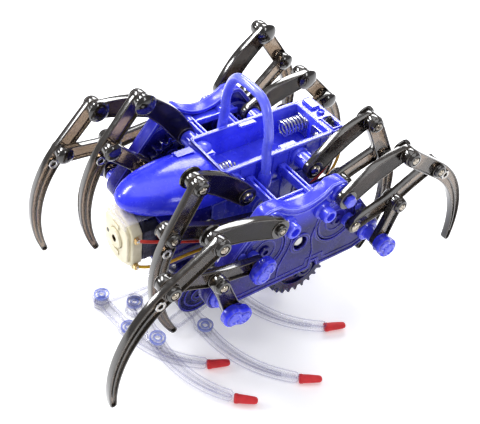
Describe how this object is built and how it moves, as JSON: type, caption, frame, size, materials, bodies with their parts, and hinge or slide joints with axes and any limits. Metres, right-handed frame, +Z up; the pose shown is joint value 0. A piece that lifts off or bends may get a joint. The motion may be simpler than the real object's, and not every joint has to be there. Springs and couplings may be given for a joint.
{
  "type": "eight-legged walking robot kit",
  "caption": "Battery walking robot on a clear stand: blue geared chassis with carry handle, smoke-grey linkage legs with claw feet, small motor, red rubber tips.",
  "frame": {"origin": "on the table, under the middle of the whole object's outline", "axes": "+Z up from the table; the nose and motor end points towards -Y; the robot's left side is +X"},
  "size_m": [0.113, 0.1726, 0.1079],
  "materials": {
    "blue_plastic": "translucent royal blue, glossy",
    "gear_blue": "darker blue moulded gears",
    "smoke_plastic": "smoke grey translucent, glossy",
    "clear_plastic": "clear, faintly lilac",
    "red_rubber": "matte red rubber",
    "cream_plastic": "cream moulded plastic",
    "white_plastic": "white moulded plastic",
    "steel": "plain steel",
    "black_plastic": "black moulded plastic",
    "red_wire": "red insulation",
    "yellow_wire": "yellow insulation"
  },
  "bodies": {
    "chassis": {"battery_tray": "blue_plastic", "nose_canopy": "blue_plastic", "carry_handle": "blue_plastic", "gearbox_case": "blue_plastic", "left_side_frame": "blue_plastic", "right_side_frame": "blue_plastic", "motor_end_bell": "cream_plastic", "motor_can": "steel", "motor_lead_red": "red_wire", "motor_lead_yellow": "yellow_wire", "clear_base": "clear_plastic", "clear_leg_1": "clear_plastic", "clear_leg_2": "clear_plastic", "clear_leg_3": "clear_plastic", "clear_leg_4": "clear_plastic", "red_tip_1": "red_rubber", "red_tip_2": "red_rubber", "red_tip_3": "red_rubber", "red_tip_4": "red_rubber"},
    "main_axle": {"main_axle": "white_plastic"},
    "left_front_crank": {"left_front_crank": "gear_blue"},
    "left_rear_crank": {"left_rear_crank": "gear_blue"},
    "right_front_crank": {"right_front_crank": "gear_blue"},
    "right_rear_crank": {"right_rear_crank": "gear_blue"},
    "lower_rear_gears": {"lower_rear_gears": "gear_blue"},
    "lower_front_gears": {"lower_front_gears": "gear_blue"},
    "motor_pinion_shaft": {"motor_pinion_shaft": "steel"},
    "switch_slider": {"switch_slider": "black_plastic"},
    "left_front_outer_upper_rocker": {"left_front_outer_upper_rocker": "smoke_plastic"},
    "left_front_outer_claw": {"left_front_outer_claw": "smoke_plastic"},
    "left_front_outer_coupler": {"left_front_outer_coupler": "smoke_plastic"},
    "left_front_outer_lower_rocker": {"left_front_outer_lower_rocker": "smoke_plastic"},
    "left_front_inner_upper_rocker": {"left_front_inner_upper_rocker": "smoke_plastic"},
    "left_front_inner_claw": {"left_front_inner_claw": "smoke_plastic"},
    "left_front_inner_coupler": {"left_front_inner_coupler": "smoke_plastic"},
    "left_front_inner_lower_rocker": {"left_front_inner_lower_rocker": "smoke_plastic"},
    "left_rear_outer_upper_rocker": {"left_rear_outer_upper_rocker": "smoke_plastic"},
    "left_rear_outer_claw": {"left_rear_outer_claw": "smoke_plastic"},
    "left_rear_outer_coupler": {"left_rear_outer_coupler": "smoke_plastic"},
    "left_rear_outer_lower_rocker": {"left_rear_outer_lower_rocker": "smoke_plastic"},
    "left_rear_inner_upper_rocker": {"left_rear_inner_upper_rocker": "smoke_plastic"},
    "left_rear_inner_claw": {"left_rear_inner_claw": "smoke_plastic"},
    "left_rear_inner_coupler": {"left_rear_inner_coupler": "smoke_plastic"},
    "left_rear_inner_lower_rocker": {"left_rear_inner_lower_rocker": "smoke_plastic"},
    "right_front_outer_upper_rocker": {"right_front_outer_upper_rocker": "smoke_plastic"},
    "right_front_outer_claw": {"right_front_outer_claw": "smoke_plastic"},
    "right_front_outer_coupler": {"right_front_outer_coupler": "smoke_plastic"},
    "right_front_outer_lower_rocker": {"right_front_outer_lower_rocker": "smoke_plastic"},
    "right_front_inner_upper_rocker": {"right_front_inner_upper_rocker": "smoke_plastic"},
    "right_front_inner_claw": {"right_front_inner_claw": "smoke_plastic"},
    "right_front_inner_coupler": {"right_front_inner_coupler": "smoke_plastic"},
    "right_front_inner_lower_rocker": {"right_front_inner_lower_rocker": "smoke_plastic"},
    "right_rear_outer_upper_rocker": {"right_rear_outer_upper_rocker": "smoke_plastic"},
    "right_rear_outer_claw": {"right_rear_outer_claw": "smoke_plastic"},
    "right_rear_outer_coupler": {"right_rear_outer_coupler": "smoke_plastic"},
    "right_rear_outer_lower_rocker": {"right_rear_outer_lower_rocker": "smoke_plastic"},
    "right_rear_inner_upper_rocker": {"right_rear_inner_upper_rocker": "smoke_plastic"},
    "right_rear_inner_claw": {"right_rear_inner_claw": "smoke_plastic"},
    "right_rear_inner_coupler": {"right_rear_inner_coupler": "smoke_plastic"},
    "right_rear_inner_lower_rocker": {"right_rear_inner_lower_rocker": "smoke_plastic"}
  },
  "joints": [
    {"name": "main_axle_spin", "type": "hinge", "parent": "chassis", "child": "main_axle", "pos_m": [-0.00969, 0.00196, 0.0546], "axis": [1, 0, 0], "continuous": true},
    {"name": "left_front_crank_spin", "type": "hinge", "parent": "chassis", "child": "left_front_crank", "pos_m": [-0.00969, -0.01574, 0.0586], "axis": [1, 0, 0], "continuous": true},
    {"name": "left_rear_crank_spin", "type": "hinge", "parent": "chassis", "child": "left_rear_crank", "pos_m": [-0.00969, 0.01966, 0.0586], "axis": [1, 0, 0], "continuous": true},
    {"name": "right_front_crank_spin", "type": "hinge", "parent": "chassis", "child": "right_front_crank", "pos_m": [-0.00969, -0.01574, 0.0586], "axis": [1, 0, 0], "continuous": true},
    {"name": "right_rear_crank_spin", "type": "hinge", "parent": "chassis", "child": "right_rear_crank", "pos_m": [-0.00969, 0.01966, 0.0586], "axis": [1, 0, 0], "continuous": true},
    {"name": "lower_rear_gears_spin", "type": "hinge", "parent": "chassis", "child": "lower_rear_gears", "pos_m": [-0.00969, 0.01096, 0.03255], "axis": [1, 0, 0], "continuous": true},
    {"name": "lower_front_gears_spin", "type": "hinge", "parent": "chassis", "child": "lower_front_gears", "pos_m": [-0.00969, -0.01724, 0.03938], "axis": [1, 0, 0], "continuous": true},
    {"name": "motor_pinion_shaft_spin", "type": "hinge", "parent": "chassis", "child": "motor_pinion_shaft", "pos_m": [-0.00969, 0.00196, 0.0546], "axis": [0, 1, 0], "continuous": true},
    {"name": "switch_slide", "type": "slide", "parent": "chassis", "child": "switch_slider", "axis": [1, 0, 0], "range_m": [0, 0.0028]},
    {"name": "left_front_outer_upper_rocker_pivot", "type": "hinge", "parent": "chassis", "child": "left_front_outer_upper_rocker", "pos_m": [0.03221, -0.01444, 0.0736], "axis": [1, 0, 0], "range_deg": [-32.32, 4]},
    {"name": "left_front_outer_claw_pivot", "type": "hinge", "parent": "left_front_outer_upper_rocker", "child": "left_front_outer_claw", "pos_m": [0.03221, -0.04334, 0.08165], "axis": [1, 0, 0], "range_deg": [-6.78, 51.23]},
    {"name": "left_front_outer_coupler_pivot", "type": "hinge", "parent": "left_front_outer_claw", "child": "left_front_outer_coupler", "pos_m": [0.03221, -0.0622, 0.06939], "axis": [1, 0, 0], "range_deg": [-42.6, 5.71]},
    {"name": "left_front_outer_lower_rocker_pivot", "type": "hinge", "parent": "chassis", "child": "left_front_outer_lower_rocker", "pos_m": [0.03221, -0.03474, 0.045], "axis": [1, 0, 0], "range_deg": [-28.9, 4.01]},
    {"name": "left_front_inner_upper_rocker_pivot", "type": "hinge", "parent": "chassis", "child": "left_front_inner_upper_rocker", "pos_m": [0.01161, -0.01444, 0.0736], "axis": [1, 0, 0], "range_deg": [-2.53, 16.89]},
    {"name": "left_front_inner_claw_pivot", "type": "hinge", "parent": "left_front_inner_upper_rocker", "child": "left_front_inner_claw", "pos_m": [0.01161, -0.03901, 0.09082], "axis": [1, 0, 0], "range_deg": [-29.1, 4.04]},
    {"name": "left_front_inner_coupler_pivot", "type": "hinge", "parent": "left_front_inner_claw", "child": "left_front_inner_coupler", "pos_m": [0.01161, -0.04928, 0.0708], "axis": [1, 0, 0], "range_deg": [-3.99, 28.69]},
    {"name": "left_front_inner_lower_rocker_pivot", "type": "hinge", "parent": "chassis", "child": "left_front_inner_lower_rocker", "pos_m": [0.01161, -0.03474, 0.045], "axis": [1, 0, 0], "range_deg": [-2.99, 20.6]},
    {"name": "left_rear_outer_upper_rocker_pivot", "type": "hinge", "parent": "chassis", "child": "left_rear_outer_upper_rocker", "pos_m": [0.03221, 0.01836, 0.0736], "axis": [1, 0, 0], "range_deg": [-8.25, 1.46]},
    {"name": "left_rear_outer_claw_pivot", "type": "hinge", "parent": "left_rear_outer_upper_rocker", "child": "left_rear_outer_claw", "pos_m": [0.03221, 0.04593, 0.08542], "axis": [1, 0, 0], "range_deg": [-1.89, 0.67]},
    {"name": "left_rear_outer_coupler_pivot", "type": "hinge", "parent": "left_rear_outer_claw", "child": "left_rear_outer_coupler", "pos_m": [0.03221, 0.06417, 0.07224], "axis": [1, 0, 0], "range_deg": [-11.67, 1.88]},
    {"name": "left_rear_outer_lower_rocker_pivot", "type": "hinge", "parent": "chassis", "child": "left_rear_outer_lower_rocker", "pos_m": [0.03221, 0.03866, 0.045], "axis": [1, 0, 0], "range_deg": [-1.77, 10.79]},
    {"name": "left_rear_inner_upper_rocker_pivot", "type": "hinge", "parent": "chassis", "child": "left_rear_inner_upper_rocker", "pos_m": [0.01161, 0.01836, 0.0736], "axis": [1, 0, 0], "range_deg": [-2.65, 17.85]},
    {"name": "left_rear_inner_claw_pivot", "type": "hinge", "parent": "left_rear_inner_upper_rocker", "child": "left_rear_inner_claw", "pos_m": [0.01161, 0.04415, 0.08892], "axis": [1, 0, 0], "range_deg": [-10.56, 1.75]},
    {"name": "left_rear_inner_coupler_pivot", "type": "hinge", "parent": "left_rear_inner_claw", "child": "left_rear_inner_coupler", "pos_m": [0.01161, 0.05452, 0.06896], "axis": [1, 0, 0], "range_deg": [-2.66, 17.95]},
    {"name": "left_rear_inner_lower_rocker_pivot", "type": "hinge", "parent": "chassis", "child": "left_rear_inner_lower_rocker", "pos_m": [0.01161, 0.03866, 0.045], "axis": [1, 0, 0], "range_deg": [-4.48, 0.99]},
    {"name": "right_front_outer_upper_rocker_pivot", "type": "hinge", "parent": "chassis", "child": "right_front_outer_upper_rocker", "pos_m": [-0.05159, -0.01444, 0.0736], "axis": [1, 0, 0], "range_deg": [-0.86, 0.55]},
    {"name": "right_front_outer_claw_pivot", "type": "hinge", "parent": "right_front_outer_upper_rocker", "child": "right_front_outer_claw", "pos_m": [-0.05159, -0.04305, 0.08263], "axis": [1, 0, 0], "range_deg": [-15.1, 2.31]},
    {"name": "right_front_outer_coupler_pivot", "type": "hinge", "parent": "right_front_outer_claw", "child": "right_front_outer_coupler", "pos_m": [-0.05159, -0.0579, 0.06573], "axis": [1, 0, 0], "range_deg": [-1.35, 0.6]},
    {"name": "right_front_outer_lower_rocker_pivot", "type": "hinge", "parent": "chassis", "child": "right_front_outer_lower_rocker", "pos_m": [-0.05159, -0.03474, 0.045], "axis": [1, 0, 0], "range_deg": [-2.59, 17.42]},
    {"name": "right_front_inner_upper_rocker_pivot", "type": "hinge", "parent": "chassis", "child": "right_front_inner_upper_rocker", "pos_m": [-0.03099, -0.01444, 0.0736], "axis": [1, 0, 0], "range_deg": [-2.34, 15.33]},
    {"name": "right_front_inner_claw_pivot", "type": "hinge", "parent": "right_front_inner_upper_rocker", "child": "right_front_inner_claw", "pos_m": [-0.03099, -0.0344, 0.096], "axis": [1, 0, 0], "range_deg": [-5.28, 1.09]},
    {"name": "right_front_inner_coupler_pivot", "type": "hinge", "parent": "right_front_inner_claw", "child": "right_front_inner_coupler", "pos_m": [-0.03099, -0.04799, 0.07807], "axis": [1, 0, 0], "range_deg": [-2.07, 13.19]},
    {"name": "right_front_inner_lower_rocker_pivot", "type": "hinge", "parent": "chassis", "child": "right_front_inner_lower_rocker", "pos_m": [-0.03099, -0.03474, 0.045], "axis": [1, 0, 0], "range_deg": [-9.38, 1.6]},
    {"name": "right_rear_outer_upper_rocker_pivot", "type": "hinge", "parent": "chassis", "child": "right_rear_outer_upper_rocker", "pos_m": [-0.05159, 0.01836, 0.0736], "axis": [1, 0, 0], "range_deg": [-28.23, 3.93]},
    {"name": "right_rear_outer_claw_pivot", "type": "hinge", "parent": "right_rear_outer_upper_rocker", "child": "right_rear_outer_claw", "pos_m": [-0.05159, 0.0383, 0.09601], "axis": [1, 0, 0], "range_deg": [-6.33, 47.62]},
    {"name": "right_rear_outer_coupler_pivot", "type": "hinge", "parent": "right_rear_outer_claw", "child": "right_rear_outer_coupler", "pos_m": [-0.05159, 0.05148, 0.07777], "axis": [1, 0, 0], "range_deg": [-37.53, 5.08]},
    {"name": "right_rear_outer_lower_rocker_pivot", "type": "hinge", "parent": "chassis", "child": "right_rear_outer_lower_rocker", "pos_m": [-0.05159, 0.03866, 0.045], "axis": [1, 0, 0], "range_deg": [-31.37, 4.32]},
    {"name": "right_rear_inner_upper_rocker_pivot", "type": "hinge", "parent": "chassis", "child": "right_rear_inner_upper_rocker", "pos_m": [-0.03099, 0.01836, 0.0736], "axis": [1, 0, 0], "range_deg": [-2.43, 16.07]},
    {"name": "right_rear_inner_claw_pivot", "type": "hinge", "parent": "right_rear_inner_upper_rocker", "child": "right_rear_inner_claw", "pos_m": [-0.03099, 0.04714, 0.08207], "axis": [1, 0, 0], "range_deg": [-32.12, 4.41]},
    {"name": "right_rear_inner_coupler_pivot", "type": "hinge", "parent": "right_rear_inner_claw", "child": "right_rear_inner_coupler", "pos_m": [-0.03099, 0.06256, 0.06569], "axis": [1, 0, 0], "range_deg": [-3.96, 28.46]},
    {"name": "right_rear_inner_lower_rocker_pivot", "type": "hinge", "parent": "chassis", "child": "right_rear_inner_lower_rocker", "pos_m": [-0.03099, 0.03866, 0.045], "axis": [1, 0, 0], "range_deg": [-3.42, 24.08]}
  ],
  "couplings": [
    {"joint": "left_front_crank_spin", "follows": "main_axle_spin", "ratio": -1},
    {"joint": "left_rear_crank_spin", "follows": "main_axle_spin", "ratio": -1},
    {"joint": "right_front_crank_spin", "follows": "main_axle_spin", "ratio": -1},
    {"joint": "right_rear_crank_spin", "follows": "main_axle_spin", "ratio": -1},
    {"joint": "lower_rear_gears_spin", "follows": "main_axle_spin", "ratio": -0.61538},
    {"joint": "lower_front_gears_spin", "follows": "main_axle_spin", "ratio": 0.88889},
    {"joint": "motor_pinion_shaft_spin", "follows": "main_axle_spin", "ratio": 3},
    {"joint": "left_front_outer_claw_pivot", "follows": "left_front_outer_upper_rocker_pivot", "ratio": -1.5694},
    {"joint": "left_front_outer_coupler_pivot", "follows": "left_front_outer_upper_rocker_pivot", "ratio": 1.3024},
    {"joint": "left_front_outer_lower_rocker_pivot", "follows": "left_front_outer_upper_rocker_pivot", "ratio": 0.87862},
    {"joint": "left_front_inner_upper_rocker_pivot", "follows": "left_front_outer_upper_rocker_pivot", "ratio": -0.50693},
    {"joint": "left_front_inner_claw_pivot", "follows": "left_front_outer_upper_rocker_pivot", "ratio": 0.88485},
    {"joint": "left_front_inner_coupler_pivot", "follows": "left_front_outer_upper_rocker_pivot", "ratio": -0.87219},
    {"joint": "left_front_inner_lower_rocker_pivot", "follows": "left_front_outer_upper_rocker_pivot", "ratio": -0.62178},
    {"joint": "left_rear_outer_upper_rocker_pivot", "follows": "left_front_outer_upper_rocker_pivot", "ratio": 0.23972},
    {"joint": "left_rear_outer_claw_pivot", "follows": "left_front_outer_upper_rocker_pivot", "ratio": 0.042967},
    {"joint": "left_rear_outer_coupler_pivot", "follows": "left_front_outer_upper_rocker_pivot", "ratio": 0.34554},
    {"joint": "left_rear_outer_lower_rocker_pivot", "follows": "left_front_outer_upper_rocker_pivot", "ratio": -0.31826},
    {"joint": "left_rear_inner_upper_rocker_pivot", "follows": "left_front_outer_upper_rocker_pivot", "ratio": -0.53667},
    {"joint": "left_rear_inner_claw_pivot", "follows": "left_front_outer_upper_rocker_pivot", "ratio": 0.31118},
    {"joint": "left_rear_inner_coupler_pivot", "follows": "left_front_outer_upper_rocker_pivot", "ratio": -0.53984},
    {"joint": "left_rear_inner_lower_rocker_pivot", "follows": "left_front_outer_upper_rocker_pivot", "ratio": 0.12319},
    {"joint": "right_front_outer_upper_rocker_pivot", "follows": "left_front_outer_upper_rocker_pivot", "ratio": 0.011207},
    {"joint": "right_front_outer_claw_pivot", "follows": "left_front_outer_upper_rocker_pivot", "ratio": 0.45166},
    {"joint": "right_front_outer_coupler_pivot", "follows": "left_front_outer_upper_rocker_pivot", "ratio": 0.026322},
    {"joint": "right_front_outer_lower_rocker_pivot", "follows": "left_front_outer_upper_rocker_pivot", "ratio": -0.52346},
    {"joint": "right_front_inner_upper_rocker_pivot", "follows": "left_front_outer_upper_rocker_pivot", "ratio": -0.45894},
    {"joint": "right_front_inner_claw_pivot", "follows": "left_front_outer_upper_rocker_pivot", "ratio": 0.14779},
    {"joint": "right_front_inner_coupler_pivot", "follows": "left_front_outer_upper_rocker_pivot", "ratio": -0.3925},
    {"joint": "right_front_inner_lower_rocker_pivot", "follows": "left_front_outer_upper_rocker_pivot", "ratio": 0.2749},
    {"joint": "right_rear_outer_upper_rocker_pivot", "follows": "left_front_outer_upper_rocker_pivot", "ratio": 0.85781},
    {"joint": "right_rear_outer_claw_pivot", "follows": "left_front_outer_upper_rocker_pivot", "ratio": -1.4577},
    {"joint": "right_rear_outer_coupler_pivot", "follows": "left_front_outer_upper_rocker_pivot", "ratio": 1.1457},
    {"joint": "right_rear_outer_lower_rocker_pivot", "follows": "left_front_outer_upper_rocker_pivot", "ratio": 0.95519},
    {"joint": "right_rear_inner_upper_rocker_pivot", "follows": "left_front_outer_upper_rocker_pivot", "ratio": -0.48175},
    {"joint": "right_rear_inner_claw_pivot", "follows": "left_front_outer_upper_rocker_pivot", "ratio": 0.97836},
    {"joint": "right_rear_inner_coupler_pivot", "follows": "left_front_outer_upper_rocker_pivot", "ratio": -0.86499},
    {"joint": "right_rear_inner_lower_rocker_pivot", "follows": "left_front_outer_upper_rocker_pivot", "ratio": -0.72963}
  ]
}
